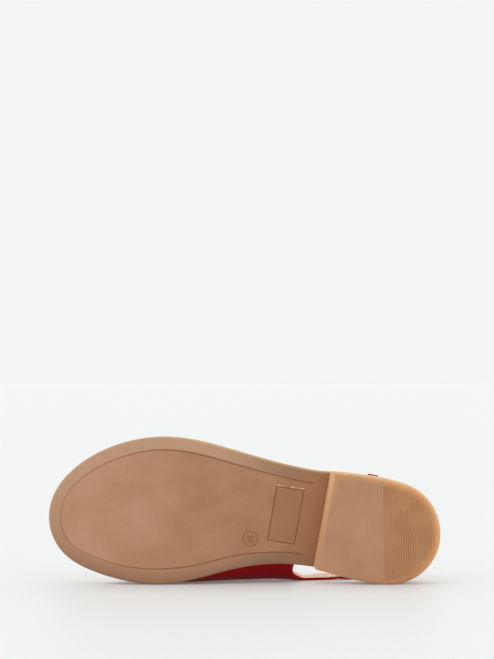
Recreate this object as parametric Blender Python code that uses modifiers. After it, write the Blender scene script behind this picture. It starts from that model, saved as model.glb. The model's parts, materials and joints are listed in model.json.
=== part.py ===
"""Women's slingback sandal for the left foot, lying empty on its medial side.

Shoe frame, in millimetres: x runs along the sole from the back of the heel to the toe,
y across it towards the lateral side, and z up from the plane that heel and forefoot
stand on. Meshes hold shoe-frame places in metres. One empty lays the whole shoe down:
the toe points to -X, the sole faces -Y, and the medial edges rest on the plane Z = 0.
"""

from collections import namedtuple
from math import acos, cos, pi, radians, sin

import bmesh
import bpy
import numpy as np
from mathutils import Matrix, Vector

# ---------------------------------------------------------------- driving dimensions
MM = 0.001
GAP = 0.3                    # clearance between pieces that touch

LENGTH = 255.0               # outsole, heel to toe (EU 38)
SIDE_STEPS = 40              # stations along each side of a sole-shaped piece

SOLE_EDGE_ROUND = 1.6        # rounding of the tread edge
SOLE_TOP_ROUND = 0.8

HEEL_FLARE = 1.2             # the heel's foot is this much wider than its seat, each side
HEEL_EDGE_ROUND = 1.2
BREAST_MEDIAL = 81.0         # front of the heel, from its back
BREAST_LATERAL = 70.0
BREAST_RAKE = 1.2            # the breast leans forward this much up to the seat
HEEL_STEPS = 18              # stations along each side of the heel

INSOLE_THICKNESS = 3.6
INSOLE_EDGE_ROUND = 1.0
SOFT = 0.3                   # share of a rounding's radius at its middle point

WALL = 2.0                   # leather and lining
BASE_INSET = 1.0             # foot of the upper's wall, in from the sole's edge
BASE_GAP = 0.5               # and its clearance over the sole
LENGTH_STEPS = 16            # vamp, rear edge to front edge
FOOT_FLARE = (0.55, 0.2)     # how the wall leaves its foot, in shares of its way out and up
SWELL_FULLNESS = 0.5         # how upright the wall stands at its widest
CREST_FULLNESS = 0.52        # how flat it runs over the ridge

STRAP_WIDTH = 13.0
STRAP_STEP = 3.5             # spacing of the strap's sections
STRAP_ROOT = (0.82, 0.66)    # girth shares between which the straps leave the vamp
ROOT_LINE = 3                # the vamp's girth line at which that starts
ROOT_SPANS = 3               # faces across a strap
RIDGE_SPANS = 9              # faces from a strap's root up to the ridge
TIP_LENGTH = 8.0             # rounded end of the strap
TIP_WIDTH = 0.4              # what is left of the strap's width at its very end

CHAPE_WALL = 1.2
LAYER_GAP = 0.4              # between the strap and the chape under it
CHAPE_WIDTH = 12.0
CHAPE_STEP = 1.3
CHAPE_THINNING = 6           # sections over which the vamp's wall thins to the chape's
CHAPE_RUN = 42.0             # straight under the strap, up to the buckle
CHAPE_RETURN = (4.6, 12.0)   # folded end, from where it lies flat to its edge

WIRE = 2.0                   # buckle frame, diameter
BUCKLE_PITCH = 11.0          # between the centres of its two bars
BUCKLE_HALF_HEIGHT = 8.2     # centre of the strap to the centre of a side bar
BUCKLE_CORNER = 1.8
BAR_PLAY = 0.5               # round the near bar, inside the chape's fold
PRONG_WIRE = 1.4
PRONG_PLAY = 0.5
SLOT_WIDTH = 2.6             # slot in the fold, for the prong
SLOT_REACH = (-3.2, 3.6)     # behind and ahead of the near bar
HOLE_DIAMETER = 3.2
HOLE_FORWARD = 2.1           # ahead of the buckle's middle

KEEPER_WIDTH = 5.0
KEEPER_WALL = 1.1
KEEPER_CORNER = 0.5
CLEAR_OF_PIVOT = 0.02        # metres: nearer points don't decide how the shoe tips over

# ---------------------------------------------------------------- tables, a row a section
Outline = namedtuple("Outline", "along centre half")
OUTLINE = (
    Outline(0, -5.3, 0),
    Outline(12, -4.6, 25.9),
    Outline(28, -4.3, 33.3),
    Outline(47, -2.0, 34.8),
    Outline(68, 1.6, 33.6),
    Outline(90, 5.3, 32.1),
    Outline(112, 8.3, 34.2),
    Outline(132, 9.9, 38.3),
    Outline(156, 10.1, 44.5),
    Outline(180, 9.3, 47.9),
    Outline(206, 8.6, 44.7),
    Outline(225, 7.4, 38.0),
    Outline(242, 5.6, 27.3),
    Outline(255, 4.8, 0),
)

Profile = namedtuple("Profile", "along underside thickness trim inset")
PROFILE = (                  # trim: sole edge in from the outline; inset: of the insole
    Profile(0, 20.3, 4.6, 0.8, 2.6),
    Profile(35, 18.6, 4.6, 0.8, 2.6),
    Profile(72, 15.8, 4.6, 0.8, 2.6),
    Profile(82, 14.6, 4.6, 0.7, 2.8),
    Profile(93, 12.8, 4.7, 0.0, 3.9),
    Profile(120, 7.8, 5.0, 0.0, 3.9),
    Profile(143, 2.6, 5.6, 0.0, 3.9),
    Profile(162, 0.0, 6.0, 0.0, 3.9),
    Profile(190, 0.0, 6.0, 0.0, 3.9),
    Profile(214, 1.1, 6.0, 0.0, 3.9),
    Profile(222, 1.9, 5.9, 0.0, 3.9),
    Profile(236, 3.9, 5.7, 0.0, 2.0),
    Profile(255, 8.2, 5.2, 0.0, 2.0),
)

Last = namedtuple("Last", "along crest ridge medial lateral swell")
LAST = (                     # crest and swell are heights; the rest lies across
    Last(80, 88.0, 2.0, -38.6, 35.2, 34.0),
    Last(100, 83.0, 2.0, -36.0, 38.8, 34.5),
    Last(125, 74.0, 2.0, -36.4, 45.2, 33.0),
    Last(150, 61.5, 1.0, -37.3, 52.6, 26.0),
    Last(175, 49.5, -1.0, -38.3, 56.8, 21.0),
    Last(200, 40.5, -1.0, -36.2, 54.8, 18.0),
    Last(225, 33.0, 1.0, -30.2, 45.4, 17.5),
)

Edge = namedtuple("Edge", "girth rear front")
EDGES = (                    # girth: -1 medial base, 0 ridge of the instep, 1 lateral base
    Edge(-1.00, 94.5, 221.0),
    Edge(-0.92, 96.0, 217.0),
    Edge(-0.88, 95.0, 215.0),
    Edge(-0.82, 87.5, 212.0),
    Edge(-0.66, 87.0, 206.0),
    Edge(-0.54, 97.0, 202.0),
    Edge(-0.36, 112.0, 199.0),
    Edge(-0.18, 122.0, 196.0),
    Edge(0.00, 126.0, 195.0),
    Edge(0.18, 123.0, 196.0),
    Edge(0.36, 114.0, 198.0),
    Edge(0.54, 100.0, 200.0),
    Edge(0.66, 90.0, 202.0),
    Edge(0.82, 90.5, 205.0),
    Edge(0.88, 97.5, 206.0),
    Edge(0.92, 99.0, 208.0),
    Edge(1.00, 97.5, 212.0),
)

Sling = namedtuple("Sling", "along across height lean")
SLING = (                    # centre of the strap's outer face, medial side first
    Sling(76, -35.9, 39.8, 12),
    Sling(62, -36.1, 43.0, 12),
    Sling(46, -34.2, 47.4, 12),
    Sling(30, -28.8, 52.2, 12),
    Sling(16, -19.0, 56.6, 12),
    Sling(9, -5.0, 59.2, 12),
    Sling(12, 10.0, 58.6, 12),
    Sling(22, 21.4, 56.0, 12),
    Sling(35, 28.0, 52.4, 12),
    Sling(52, 31.0, 47.8, 12),
    Sling(68, 32.0, 44.2, 12),
    Sling(82, 33.4, 41.4, 12),
)
BUCKLE_ALONG = 28.2          # middle of the buckle, on the lateral side
TIP_ALONG = 58.0             # end of the strap, lying on the chape
KEEPER_ALONG = 40.4

Bend = namedtuple("Bend", "forward out")
PRONG_RISE = (               # from the middle of the strap, through its hole and over it
    Bend(2.7, -1.6),
    Bend(2.1, 0.4),
    Bend(0.6, 2.6),
    Bend(-2.2, 4.1),
)


# ---------------------------------------------------------------- curves
def fair_curve(knots, values):
    """Natural cubic spline through the values, as a function of the knots' variable."""
    knots = np.array(knots, float)
    values = np.array(values, float)
    count = len(knots)
    step = np.diff(knots)
    system = np.eye(count)
    bend = np.zeros_like(values)
    for i in range(1, count - 1):
        system[i, i - 1:i + 2] = step[i - 1], 2 * (step[i - 1] + step[i]), step[i]
        bend[i] = 6 * ((values[i + 1] - values[i]) / step[i]
                       - (values[i] - values[i - 1]) / step[i - 1])
    bend = np.linalg.solve(system, bend)

    def value(at):
        i = int(np.clip(np.searchsorted(knots, at) - 1, 0, count - 2))
        left = (knots[i + 1] - at) / step[i]
        right = 1 - left
        cubic = (left ** 3 - left) * bend[i] + (right ** 3 - right) * bend[i + 1]
        return left * values[i] + right * values[i + 1] + cubic * step[i] ** 2 / 6

    return value


def steady_curve(knots, values):
    """Cubic through the values that never overshoots, so level stretches stay level."""
    knots = np.array(knots, float)
    values = np.array(values, float)
    step = np.diff(knots)
    rise = np.diff(values) / step
    slope = np.zeros_like(values)
    slope[0], slope[-1] = rise[0], rise[-1]
    for i in range(1, len(knots) - 1):
        if rise[i - 1] * rise[i] > 0:
            slope[i] = 2 * rise[i - 1] * rise[i] / (rise[i - 1] + rise[i])

    def value(at):
        i = int(np.clip(np.searchsorted(knots, at) - 1, 0, len(knots) - 2))
        t = (at - knots[i]) / step[i]
        start = (1 + 2 * t) * (1 - t) ** 2 * values[i] + t * (1 - t) ** 2 * step[i] * slope[i]
        end = t * t * (3 - 2 * t) * values[i + 1] - t * t * (1 - t) * step[i] * slope[i + 1]
        return start + end

    return value


def column(table, knot, name, curve=fair_curve):
    """A table's column as a curve over another of its columns."""
    return curve([getattr(row, knot) for row in table], [getattr(row, name) for row in table])


def bezier(points, t):
    start, start_handle, end_handle, end = points
    s = 1 - t
    return s ** 3 * start + 3 * s * s * t * start_handle + 3 * s * t * t * end_handle + t ** 3 * end


# ---------------------------------------------------------------- the sole's outline
def swing(along):
    """Angle round the outline, 0 at the heel's back and pi at the toe."""
    return acos(1 - 2 * along / LENGTH)


outline_centre = fair_curve([swing(row.along) for row in OUTLINE], [row.centre for row in OUTLINE])
outline_half = fair_curve([swing(row.along) for row in OUTLINE], [row.half for row in OUTLINE])
underside = column(PROFILE, "along", "underside", steady_curve)
thickness = column(PROFILE, "along", "thickness", steady_curve)
trim = column(PROFILE, "along", "trim", steady_curve)
insole_inset = column(PROFILE, "along", "inset", steady_curve)


def sole_top(along):
    return underside(along) + thickness(along)


def outline_point(angle):
    """Plan point: medial side for angles up to pi, and back along the lateral side."""
    medial = angle <= pi
    turn = angle if medial else 2 * pi - angle
    side = -1 if medial else 1
    along = LENGTH / 2 * (1 - cos(turn))
    return np.array((along, outline_centre(turn) + side * outline_half(turn)))


def inset_point(angle, inset):
    """Outline point moved inwards, square to the outline."""
    delta = 0.004
    ahead = outline_point((angle + delta) % (2 * pi))
    behind = outline_point((angle - delta) % (2 * pi))
    tangent = (ahead - behind) / np.linalg.norm(ahead - behind)
    return outline_point(angle) - inset * np.array((tangent[1], -tangent[0]))


def side_angle(along, side):
    """Outline angle at a distance from the heel's back, side -1 medial or 1 lateral."""
    return swing(along) if side < 0 else 2 * pi - swing(along)


# ---------------------------------------------------------------- meshes and objects
def face_outwards(body):
    body.normal_update()
    bmesh.ops.recalc_face_normals(body, faces=body.faces)


def new_mesh(name, body):
    mesh = bpy.data.meshes.new(name)
    body.to_mesh(mesh)
    body.free()
    mesh.shade_smooth()
    mesh.set_sharp_from_angle(angle=radians(40))
    return mesh


def ring_solid(rings):
    """Closed body from rings of equal count, from its lower face up to its upper one.

    A ring starts at the back, follows the medial side and returns along the lateral
    one, so its end faces are ladders of rungs between the two sides.
    """
    body = bmesh.new()
    verts = [[body.verts.new(Vector(point) * MM) for point in ring] for ring in rings]
    count = len(rings[0])
    for lower, upper in zip(verts, verts[1:]):
        for k in range(count):
            after = (k + 1) % count
            body.faces.new((lower[k], lower[after], upper[after], upper[k]))
    for ring in (verts[0], verts[-1]):
        for k in range(count // 2):
            rung = (ring[k], ring[k + 1], ring[count - k - 1], ring[(count - k) % count])
            body.faces.new(tuple(dict.fromkeys(rung)))
    face_outwards(body)
    return body


def linear(value):
    """A display colour value as the linear value that a shader takes."""
    return value / 12.92 if value <= 0.04045 else ((value + 0.055) / 1.055) ** 2.4


def finish(name, colour, roughness, metallic=0.0):
    """Principled material from a display colour, 0 to 255 a channel."""
    material = bpy.data.materials.new(name)
    material.use_nodes = True
    shader = material.node_tree.nodes["Principled BSDF"]
    shader.inputs["Base Color"].default_value = (*(linear(c / 255) for c in colour), 1)
    shader.inputs["Roughness"].default_value = roughness
    shader.inputs["Metallic"].default_value = metallic
    return material


def add_part(name, mesh, material):
    part = bpy.data.objects.new(name, mesh)
    mesh.materials.append(material)
    sandal.objects.link(part)
    part.parent = lying
    return part


def add_cutter(name, mesh):
    cutter = bpy.data.objects.new(name, mesh)
    cutters.objects.link(cutter)
    cutter.parent = lying
    cutter.hide_render = True
    cutter.display_type = "WIRE"
    return cutter


def wire_mesh(name, points, diameter, cyclic=False):
    """Round wire through the points, as a mesh."""
    curve = bpy.data.curves.new(name, "CURVE")
    curve.dimensions = "3D"
    curve.bevel_depth = diameter / 2 * MM
    curve.bevel_resolution = 2
    curve.use_fill_caps = not cyclic
    spline = curve.splines.new("POLY")
    spline.points.add(len(points) - 1)
    for slot, point in zip(spline.points, points):
        slot.co = (*(Vector(point) * MM), 1)
    spline.use_cyclic_u = cyclic
    holder = bpy.data.objects.new(name, curve)
    cutters.objects.link(holder)
    bpy.context.view_layer.update()
    graph = bpy.context.evaluated_depsgraph_get()
    mesh = bpy.data.meshes.new_from_object(holder.evaluated_get(graph))
    bpy.data.objects.remove(holder)
    body = bmesh.new()
    body.from_mesh(mesh)
    bmesh.ops.remove_doubles(body, verts=body.verts, dist=0.00001)
    face_outwards(body)
    bpy.data.meshes.remove(mesh)
    return new_mesh(name, body)


# ---------------------------------------------------------------- sole pieces
def sole_ring(inset, height):
    """Ring round the sole; height is a function of the distance from the heel's back."""
    ring = []
    for k in range(2 * SIDE_STEPS):
        angle = pi * k / SIDE_STEPS
        x, y = inset_point(angle, inset(outline_point(angle)[0]))
        x = min(max(x, 0.0), LENGTH)
        ring.append((x, y, height(x)))
    return ring


def build_outsole():
    """Moulded rubber sheet: flat tread at the ball, raised waist, heel seat and toe spring."""
    rings = (
        sole_ring(lambda x: trim(x) + SOLE_EDGE_ROUND, underside),
        sole_ring(lambda x: trim(x) + SOFT * SOLE_EDGE_ROUND,
                  lambda x: underside(x) + SOFT * SOLE_EDGE_ROUND),
        sole_ring(trim, lambda x: underside(x) + SOLE_EDGE_ROUND),
        sole_ring(trim, lambda x: sole_top(x) - SOLE_TOP_ROUND),
        sole_ring(lambda x: trim(x) + SOLE_TOP_ROUND, sole_top),
    )
    mesh = new_mesh("outsole", ring_solid(rings))
    add_part("outsole", mesh, finish("moulded rubber, natural", (175, 131, 102), 0.5))


def build_heel():
    """Low block with a slightly wider foot, a raked breast and a rounded lower edge."""
    stations = [1 - cos(pi / 2 * k / HEEL_STEPS) for k in range(HEEL_STEPS + 1)]
    soft = SOFT * HEEL_EDGE_ROUND
    levels = (                   # inset of the walls, set-back of the breast, height or None
        (HEEL_EDGE_ROUND, HEEL_EDGE_ROUND, 0.0),
        (soft, soft, soft),
        (0.0, 0.0, HEEL_EDGE_ROUND),
        (HEEL_FLARE, -BREAST_RAKE, None),
    )
    rings = []
    for inset, set_back, height in levels:
        medial = [(share * (BREAST_MEDIAL - set_back), -1) for share in stations]
        lateral = [(share * (BREAST_LATERAL - set_back), 1) for share in reversed(stations[1:])]
        ring = []
        for along, side in medial + lateral:
            x, y = inset_point(side_angle(along, side), inset)
            front = BREAST_MEDIAL if side < 0 else BREAST_LATERAL
            x = min(x, front - set_back)
            ring.append((x, y, underside(x) - GAP if height is None else height))
        rings.append(ring)
    mesh = new_mesh("heel", ring_solid(rings))
    add_part("heel", mesh, finish("moulded rubber, amber", (178, 130, 96), 0.45))


def build_insole():
    """Footbed on the outsole, narrower where the upper's wall stands beside it."""
    def surface(depth):
        return lambda x: sole_top(x) + GAP + INSOLE_THICKNESS - depth

    rings = (
        sole_ring(insole_inset, surface(INSOLE_THICKNESS)),
        sole_ring(insole_inset, surface(INSOLE_EDGE_ROUND)),
        sole_ring(lambda x: insole_inset(x) + SOFT * INSOLE_EDGE_ROUND, surface(SOFT * INSOLE_EDGE_ROUND)),
        sole_ring(lambda x: insole_inset(x) + INSOLE_EDGE_ROUND, surface(0)),
    )
    mesh = new_mesh("insole", ring_solid(rings))
    add_part("insole", mesh, finish("nude lining leather", (222, 184, 158), 0.6))


# ---------------------------------------------------------------- the upper's vamp
last_curves = {name: column(LAST, "along", name) for name in Last._fields[1:]}
rear_edge = column(EDGES, "girth", "rear", steady_curve)
front_edge = column(EDGES, "girth", "front", steady_curve)


def half_section(along, side):
    """Outer wall from the sole's edge, out over the swell and up to the instep's ridge."""
    size = {name: curve(along) for name, curve in last_curves.items()}
    foot_y = inset_point(side_angle(along, side), trim(along) + BASE_INSET)[1]
    foot = np.array((foot_y, sole_top(along) + BASE_GAP))
    widest = np.array((size["medial"] if side < 0 else size["lateral"], size["swell"]))
    crest = np.array((size["ridge"], size["crest"]))
    flare, rise = widest - foot, crest - widest
    lower = (foot, foot + flare * FOOT_FLARE, widest - (0, SWELL_FULLNESS * flare[1]), widest)
    upper = (widest, widest + (0, SWELL_FULLNESS * rise[1]), crest - (CREST_FULLNESS * rise[0], 0), crest)
    steps = np.linspace(0, 1, 25)
    return np.array([bezier(lower, t) for t in steps[:-1]] + [bezier(upper, t) for t in steps])


def last_point(along, girth):
    """Point of the upper's outer face at a share of the half girth, base 1 to ridge 0."""
    wall = half_section(along, -1 if girth < 0 else 1)
    reach = np.concatenate(((0,), np.cumsum(np.linalg.norm(np.diff(wall, axis=0), axis=1))))
    at = (1 - abs(girth)) * reach[-1]
    return np.array((along, np.interp(at, reach, wall[:, 0]), np.interp(at, reach, wall[:, 1])))


def girth_lines():
    """Girth shares of the vamp's lines, from the medial base to the lateral one."""
    low, high = STRAP_ROOT
    half = [*np.linspace(1, low, ROOT_LINE + 1), *np.linspace(low, high, ROOT_SPANS + 1)[1:],
            *np.linspace(high, 0, RIDGE_SPANS + 1)[1:]]
    return [-share for share in half] + half[-2::-1]


# ---------------------------------------------------------------- the sling strap's line
sling_centres = [np.array((row.along, row.across, row.height), float) for row in SLING]
sling_reach = np.concatenate(((0,), np.cumsum([np.linalg.norm(b - a)
                                               for a, b in zip(sling_centres, sling_centres[1:])])))
sling_centre = fair_curve(sling_reach, sling_centres)
sling_lean = fair_curve(sling_reach, [radians(row.lean) for row in SLING])


def unit(vector):
    return vector / np.linalg.norm(vector)


def sling_frame(reach):
    """Centre of the strap's outer face, and its directions along, up its width and out."""
    centre = sling_centre(reach)
    along = unit(sling_centre(reach + 0.5) - sling_centre(reach - 0.5))
    inward = unit(np.array((along[1], -along[0], 0)))
    lean = sling_lean(reach)
    across = unit(np.array((0, 0, cos(lean))) + sin(lean) * inward)
    along = unit(along - across * np.dot(along, across))
    out = np.cross(across, along)
    return centre, along, across, out if np.dot(out, inward) < 0 else -out


def lateral_reach(along):
    """Distance down the strap's line at which its lateral stretch is that far forward."""
    reaches = np.linspace(sling_reach[6], sling_reach[-1], 400)
    return reaches[np.argmin([abs(sling_centre(reach)[0] - along) for reach in reaches])]


BUCKLE_REACH = lateral_reach(BUCKLE_ALONG)
TIP_REACH = lateral_reach(TIP_ALONG)
KEEPER_REACH = lateral_reach(KEEPER_ALONG)
BAR_OUT = -WALL / 2 - LAYER_GAP - CHAPE_WALL - BAR_PLAY - WIRE / 2   # in the chape's fold
FRONT_OUT = WALL / 2 + LAYER_GAP + WIRE / 2                          # under the prong's tip


def buckle_point(forward, out, across=0.0):
    """Place by the buckle: forward down the strap, out from its middle, up its width."""
    centre, _, width, outward = sling_frame(BUCKLE_REACH + forward)
    return centre + outward * (out - WALL / 2) + width * across


def bar_point(forward, out, across=0.0):
    """Place by the near bar: as buckle_point, but in straight directions from the bar."""
    centre, along, width, outward = sling_frame(BUCKLE_REACH + BUCKLE_PITCH / 2)
    return centre + along * forward + outward * (out - WALL / 2) + width * across


def strap_sections(roots):
    """Sections of the sling strap from the vamp's medial corner round to its tip."""
    shares = np.linspace(-0.5, 0.5, len(roots))
    knots = [row for row in sling_reach if row < TIP_REACH] + [TIP_REACH]
    start = np.linalg.norm(np.mean(roots, axis=0) - sling_centres[0])
    rails = []
    for share, root in zip(shares, roots):
        points = [root]
        for reach in knots:
            centre, _, across, _ = sling_frame(reach)
            points.append(centre + across * share * STRAP_WIDTH)
        rails.append(fair_curve([-start] + knots, points))
    steps = round((TIP_REACH + start) / STRAP_STEP)
    sections = []
    for k in range(1, steps + 1):
        reach = -start + (TIP_REACH + start) * k / steps
        section = [rail(reach) for rail in rails]
        middle = np.mean(section, axis=0)
        run = min(max((TIP_REACH - reach) / TIP_LENGTH, 0.0), 1.0)
        narrowing = TIP_WIDTH + (1 - TIP_WIDTH) * (1 - (1 - run) ** 2) ** 0.5
        sections.append([middle + (point - middle) * narrowing for point in section])
    return sections


def chape_sections(roots):
    """Sections of the lateral tab: back to the buckle, round its bar and forward again."""
    shares = np.linspace(-0.5, 0.5, len(roots))
    bar = BUCKLE_PITCH / 2
    turn = WIRE / 2 + BAR_PLAY + CHAPE_WALL
    layer = BAR_OUT + turn
    under = layer - 2 * CHAPE_WALL - LAYER_GAP
    leading = [(bar + forward, layer) for forward in np.geomspace(CHAPE_RUN, 2.0, 7)]
    fold = [(turn * cos(a), BAR_OUT + turn * sin(a)) for a in np.linspace(pi / 2, 1.68 * pi, 10)]
    trailing = [(bar + forward, under) for forward in np.linspace(*CHAPE_RETURN, 3)]
    rails = []
    for share, root in zip(shares, roots):
        across = share * CHAPE_WIDTH
        points = [root]
        points += [buckle_point(forward, out, across) for forward, out in leading]
        points += [bar_point(forward, out, across) for forward, out in fold]
        points += [buckle_point(forward, out, across) for forward, out in trailing]
        rails.append(points)
    middle = np.mean(rails, axis=0)
    reach = np.concatenate(((0,), np.cumsum(np.linalg.norm(np.diff(middle, axis=0), axis=1))))
    curves = [fair_curve(reach, points) for points in rails]
    steps = round(reach[-1] / CHAPE_STEP)
    return [[curve(reach[-1] * k / steps) for curve in curves] for k in range(1, steps + 1)]


# ---------------------------------------------------------------- the upper
def add_grid(body, start, sections):
    """Faces from a row of vertices on through the sections; returns the new rows."""
    rows = [start]
    for section in sections:
        rows.append([body.verts.new(Vector(point) * MM) for point in section])
    for before, after in zip(rows, rows[1:]):
        for k in range(len(start) - 1):
            body.faces.new((before[k], before[k + 1], after[k + 1], after[k]))
    return rows


def build_upper():
    """Leather wall, open at the toe, throat and heel; vamp, sling strap and chape are one."""
    body = bmesh.new()
    girths = girth_lines()
    sections = []
    for step in range(LENGTH_STEPS + 1):
        share = step / LENGTH_STEPS
        sections.append([last_point(rear_edge(g) + (front_edge(g) - rear_edge(g)) * share, g)
                         for g in girths])
    rear = [body.verts.new(Vector(point) * MM) for point in sections[0]]
    add_grid(body, rear, sections[1:])
    root = slice(ROOT_LINE, ROOT_LINE + ROOT_SPANS + 1)
    medial, lateral = rear[root], rear[::-1][root]
    add_grid(body, medial, strap_sections([np.array(v.co) / MM for v in medial]))
    chape = add_grid(body, lateral, chape_sections([np.array(v.co) / MM for v in lateral]))
    face_outwards(body)
    top = max(body.faces, key=lambda face: face.calc_center_median().z)
    if top.normal.z < 0:
        bmesh.ops.reverse_faces(body, faces=body.faces)
    body.verts.ensure_lookup_table()
    body.verts.index_update()
    thin = {}
    for k, row in enumerate(chape):
        for vert in row:
            thin[vert.index] = 1 + (CHAPE_WALL / WALL - 1) * min(k / CHAPE_THINNING, 1)
    mesh = new_mesh("upper", body)
    part = add_part("upper", mesh, finish("red leather", (158, 12, 24), 0.42))
    group = part.vertex_groups.new(name="wall")
    for vert in mesh.vertices:
        group.add([vert.index], thin.get(vert.index, 1.0), "REPLACE")
    wall = part.modifiers.new("wall", "SOLIDIFY")
    wall.thickness = WALL * MM
    wall.offset = -1
    wall.vertex_group = group.name
    for cutter in (chape_slot(), strap_hole()):
        cut = part.modifiers.new(cutter.name, "BOOLEAN")
        cut.operation = "DIFFERENCE"
        cut.object = cutter


def chape_slot():
    """Slot in the chape's fold that lets the prong reach the bar."""
    back, front = SLOT_REACH
    low, high = BAR_OUT - 2 * WIRE, -(WALL + LAYER_GAP) / 2
    body = bmesh.new()
    bmesh.ops.create_cube(body, size=1)
    for vert in body.verts:
        forward = back + (vert.co.x + 0.5) * (front - back)
        out = low + (vert.co.z + 0.5) * (high - low)
        vert.co = Vector(bar_point(forward, out, vert.co.y * SLOT_WIDTH)) * MM
    face_outwards(body)
    return add_cutter("chape_slot", new_mesh("chape_slot", body))


def strap_hole():
    """Hole in the strap for the prong."""
    body = bmesh.new()
    bmesh.ops.create_cone(body, cap_ends=True, segments=16, radius1=HOLE_DIAMETER / 2,
                          radius2=HOLE_DIAMETER / 2, depth=1)
    low, high = -(WALL + LAYER_GAP) / 2, WALL
    for vert in body.verts:
        out = low + (vert.co.z + 0.5) * (high - low)
        vert.co = Vector(buckle_point(HOLE_FORWARD + vert.co.x, out, vert.co.y)) * MM
    face_outwards(body)
    return add_cutter("strap_hole", new_mesh("strap_hole", body))


# ---------------------------------------------------------------- buckle and keeper
def build_buckle():
    """Wire frame, tilted so that the strap runs under its rear bar and over its front one."""
    half_pitch = BUCKLE_PITCH / 2
    slope = (BAR_OUT - FRONT_OUT) / BUCKLE_PITCH
    points = []
    for quarter in range(4):
        side_x = 1 if quarter in (0, 3) else -1
        side_y = 1 if quarter in (0, 1) else -1
        for step in range(4):
            angle = pi / 2 * (quarter + step / 3)
            forward = side_x * (half_pitch - BUCKLE_CORNER) + BUCKLE_CORNER * cos(angle)
            across = side_y * (BUCKLE_HALF_HEIGHT - BUCKLE_CORNER) + BUCKLE_CORNER * sin(angle)
            out = FRONT_OUT + slope * (forward + half_pitch)
            points.append(buckle_point(forward, out, across))
    brass = finish("brass, antique", (176, 138, 82), 0.35, 1.0)
    add_part("buckle_frame", wire_mesh("buckle_frame", points, WIRE, cyclic=True), brass)


def build_prong():
    """Tongue hooked under the bar, up through the strap's hole and down on the far bar."""
    bar = BUCKLE_PITCH / 2
    hook = WIRE / 2 + PRONG_PLAY + PRONG_WIRE / 2
    rest = FRONT_OUT + WIRE / 2 + PRONG_PLAY + PRONG_WIRE / 2
    points = [bar_point(hook * cos(a), BAR_OUT + hook * sin(a)) for a in np.linspace(0, -pi, 6)]
    tip = (Bend(-bar, rest), Bend(-bar - PRONG_WIRE, rest))
    points += [buckle_point(bend.forward, bend.out) for bend in PRONG_RISE + tip]
    knots = np.arange(len(points), dtype=float)
    line = fair_curve(knots, points)
    points = [line(knot) for knot in np.linspace(0, knots[-1], 34)]
    steel = finish("brass, prong", (184, 146, 90), 0.32, 1.0)
    add_part("buckle_prong", wire_mesh("buckle_prong", points, PRONG_WIRE), steel)


def build_keeper():
    """Leather loop round the strap's tip and the chape."""
    top = LAYER_GAP
    bottom = -WALL - 2 * (LAYER_GAP + CHAPE_WALL) - LAYER_GAP
    half = STRAP_WIDTH / 2 + LAYER_GAP
    loop = []
    for quarter, (side_y, level) in enumerate(((1, top), (-1, top), (-1, bottom), (1, bottom))):
        for step in range(3):
            angle = pi / 2 * (quarter + step / 2)
            y = side_y * (half - KEEPER_CORNER) + KEEPER_CORNER * cos(angle)
            inner = level - KEEPER_CORNER if level == top else level + KEEPER_CORNER
            loop.append((y, inner + KEEPER_CORNER * sin(angle)))
    body = bmesh.new()
    rows = []
    for forward in (-KEEPER_WIDTH / 2, 0, KEEPER_WIDTH / 2):
        centre, _, across, out = sling_frame(KEEPER_REACH + forward)
        rows.append([body.verts.new(Vector(centre + across * y + out * level) * MM)
                     for y, level in loop])
    for before, after in zip(rows, rows[1:]):
        for k in range(len(loop)):
            after_k = (k + 1) % len(loop)
            body.faces.new((before[k], before[after_k], after[after_k], after[k]))
    face_outwards(body)
    middle = Vector(sling_centre(KEEPER_REACH)) * MM
    face = next(iter(body.faces))
    if face.normal.dot(face.calc_center_median() - middle) < 0:
        bmesh.ops.reverse_faces(body, faces=body.faces)
    leather = finish("red leather, keeper", (150, 12, 24), 0.45)
    part = add_part("keeper_loop", new_mesh("keeper_loop", body), leather)
    wall = part.modifiers.new("wall", "SOLIDIFY")
    wall.thickness = KEEPER_WALL * MM
    wall.offset = 1


# ---------------------------------------------------------------- laying it down
def all_points():
    """Every vertex of the finished pieces, in the shoe frame, in metres."""
    bpy.context.view_layer.update()
    graph = bpy.context.evaluated_depsgraph_get()
    points = []
    for part in sandal.objects:
        mesh = part.evaluated_get(graph).to_mesh()
        points += [tuple(vert.co) for vert in mesh.vertices]
    return np.array(points)


def tip_until_touch(points, pivot, down, axis, side):
    """Turn the plane under the shoe about an axis through the pivot until it meets a point."""
    level = unit(np.cross(axis, down))
    if np.dot(level, side) < 0:
        level = -level
    offsets = points - pivot
    reach = offsets @ level
    height = -(offsets @ down)
    beyond = reach > CLEAR_OF_PIVOT
    slopes = np.where(beyond, height / np.where(beyond, reach, 1), np.inf)
    touched = int(np.argmin(slopes))
    angle = np.arctan(slopes[touched])
    return points[touched], unit(down * cos(angle) + level * sin(angle))


def lay_on_side():
    """Rest the shoe on its medial ball edge, its medial heel edge and its upper."""
    points = all_points()
    down = np.array((0.0, -1.0, 0.0))
    ball = points[int(np.argmin(points[:, 1]))]
    towards_heel = np.array((-1.0, 0.0, 0.0)) if ball[0] > LENGTH / 2 * MM else np.array((1.0, 0.0, 0.0))
    other, down = tip_until_touch(points, ball, down, np.array((0.0, 0.0, 1.0)), towards_heel)
    edge = unit(other - ball)
    _, down = tip_until_touch(points, ball, down, edge, np.array((0.0, 0.0, 1.0)))
    up = -down
    to_right = np.array((-1.0, 0.0, 0.0))
    right = unit(to_right - up * np.dot(to_right, up))
    away = np.cross(up, right)
    turn = np.array((right, away, up))
    placed = points @ turn.T
    low, high = placed.min(axis=0), placed.max(axis=0)
    shift = Vector((-(low[0] + high[0]) / 2, -(low[1] + high[1]) / 2, -low[2]))
    lying.matrix_world = Matrix.Translation(shift) @ Matrix(turn.tolist()).to_4x4()


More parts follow.
